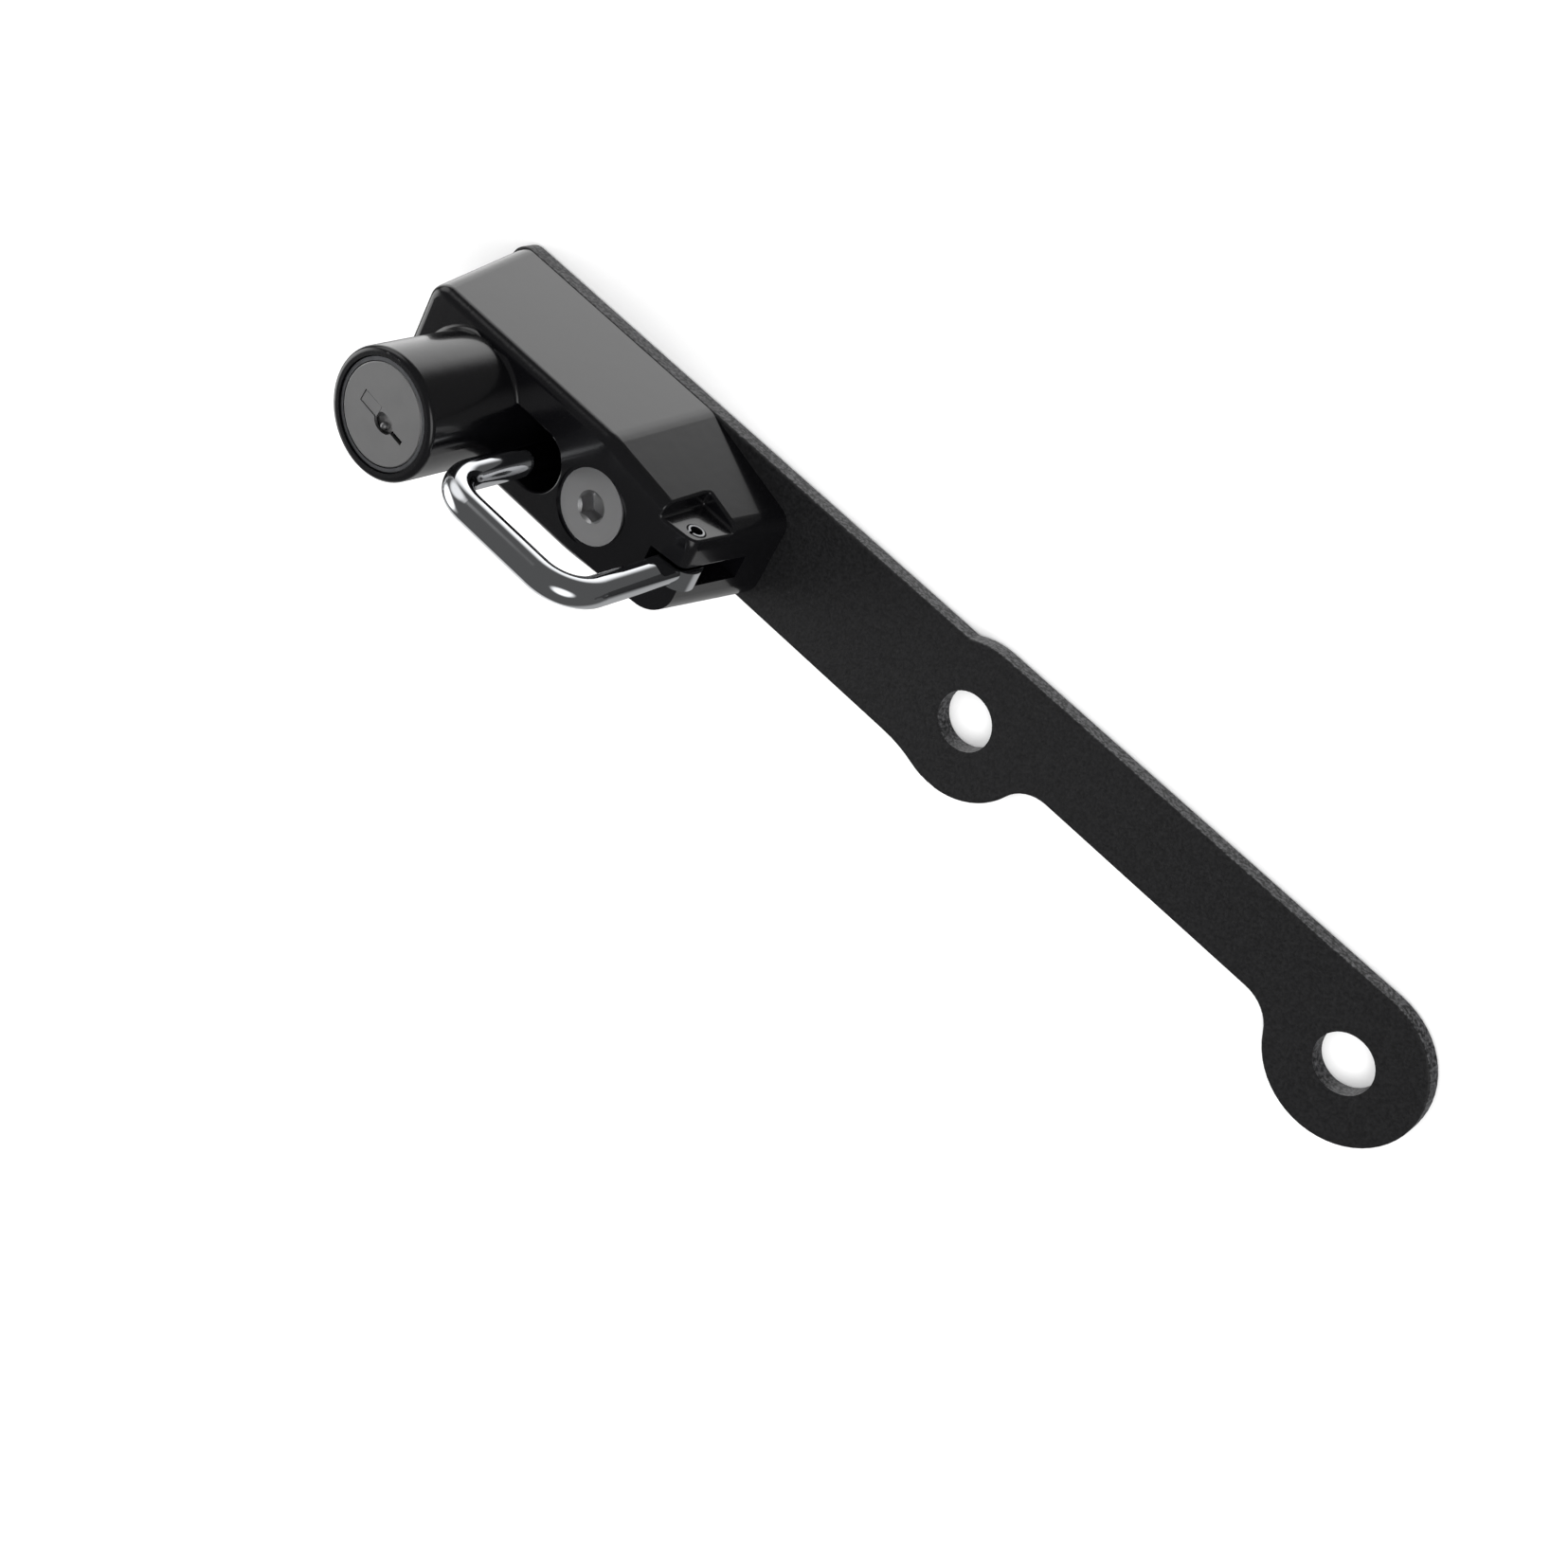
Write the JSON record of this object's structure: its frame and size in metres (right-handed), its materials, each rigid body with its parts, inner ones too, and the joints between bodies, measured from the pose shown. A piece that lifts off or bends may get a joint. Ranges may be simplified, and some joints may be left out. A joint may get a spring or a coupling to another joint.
{
  "type": "motorcycle helmet lock",
  "caption": "Key-operated helmet lock with a hinged wire shackle, screwed to a flat fixing bracket with round ears.",
  "frame": {"origin": "midway between the fixing holes, on the bracket's back face", "axes": "+X along the bracket away from the lock, +Y to the bracket's straight long edge, +Z out of the bracket's front towards the lock barrel"},
  "size_m": [0.1825, 0.024, 0.0467],
  "materials": {
    "powder_coated_steel": "matte",
    "gloss_painted_zinc": "gloss",
    "chromed_steel": "polished",
    "satin_nickel": "satin",
    "satin_steel": "satin",
    "plated_steel": "satin",
    "spring_steel": "satin",
    "bare_zinc": "satin",
    "brass": "satin"
  },
  "bodies": {
    "mount": {"bracket_plate": "powder_coated_steel", "lock_body": "gloss_painted_zinc", "rear_cover": "plated_steel", "cover_screws": "plated_steel", "mounting_screw": "satin_steel", "hinge_pin": "spring_steel", "cylinder_sleeve": "bare_zinc", "sleeve_pin": "spring_steel", "latch_spring": "spring_steel"},
    "plug": {"key_plug": "bare_zinc", "plug_cap": "satin_nickel", "keyway_shutter": "spring_steel", "plug_clip": "spring_steel", "wafer_spring_1": "spring_steel", "wafer_spring_2": "spring_steel", "wafer_spring_3": "spring_steel", "wafer_spring_4": "spring_steel", "wafer_spring_5": "spring_steel"},
    "bolt": {"latch_bolt": "plated_steel"},
    "shackle": {"shackle": "chromed_steel"},
    "wafer_1": {"wafer_1": "brass"},
    "wafer_2": {"wafer_2": "brass"},
    "wafer_3": {"wafer_3": "brass"},
    "wafer_4": {"wafer_4": "brass"},
    "wafer_5": {"wafer_5": "brass"}
  },
  "joints": [
    {"name": "key_turn", "type": "hinge", "parent": "mount", "child": "plug", "pos_m": [-0.1176, -0.0014, 0.01735], "axis": [0, 0, -1], "range_deg": [0, 90]},
    {"name": "bolt_slide", "type": "slide", "parent": "mount", "child": "bolt", "axis": [1, 0, 0], "range_m": [0, 0.00355], "deforming": ["latch_spring"]},
    {"name": "shackle_swing", "type": "hinge", "parent": "mount", "child": "shackle", "pos_m": [-0.0773, -0.0014, 0.0203], "axis": [0, 1, 0], "range_deg": [0, 110]},
    {"name": "wafer_1_slide", "type": "slide", "parent": "plug", "child": "wafer_1", "axis": [0.9925, -0.1219, 0], "range_m": [0, 0.0007], "deforming": ["wafer_spring_1"]},
    {"name": "wafer_2_slide", "type": "slide", "parent": "plug", "child": "wafer_2", "axis": [0.9925, -0.1219, 0], "range_m": [0, 0.0007], "deforming": ["wafer_spring_2"]},
    {"name": "wafer_3_slide", "type": "slide", "parent": "plug", "child": "wafer_3", "axis": [0.9925, -0.1219, 0], "range_m": [0, 0.0007], "deforming": ["wafer_spring_3"]},
    {"name": "wafer_4_slide", "type": "slide", "parent": "plug", "child": "wafer_4", "axis": [0.9925, -0.1219, 0], "range_m": [0, 0.0007], "deforming": ["wafer_spring_4"]},
    {"name": "wafer_5_slide", "type": "slide", "parent": "plug", "child": "wafer_5", "axis": [0.9925, -0.1219, 0], "range_m": [0, 0.0007], "deforming": ["wafer_spring_5"]}
  ],
  "couplings": [
    {"joint": "bolt_slide", "follows": "key_turn", "m_per_rad": 0.0022508}
  ]
}
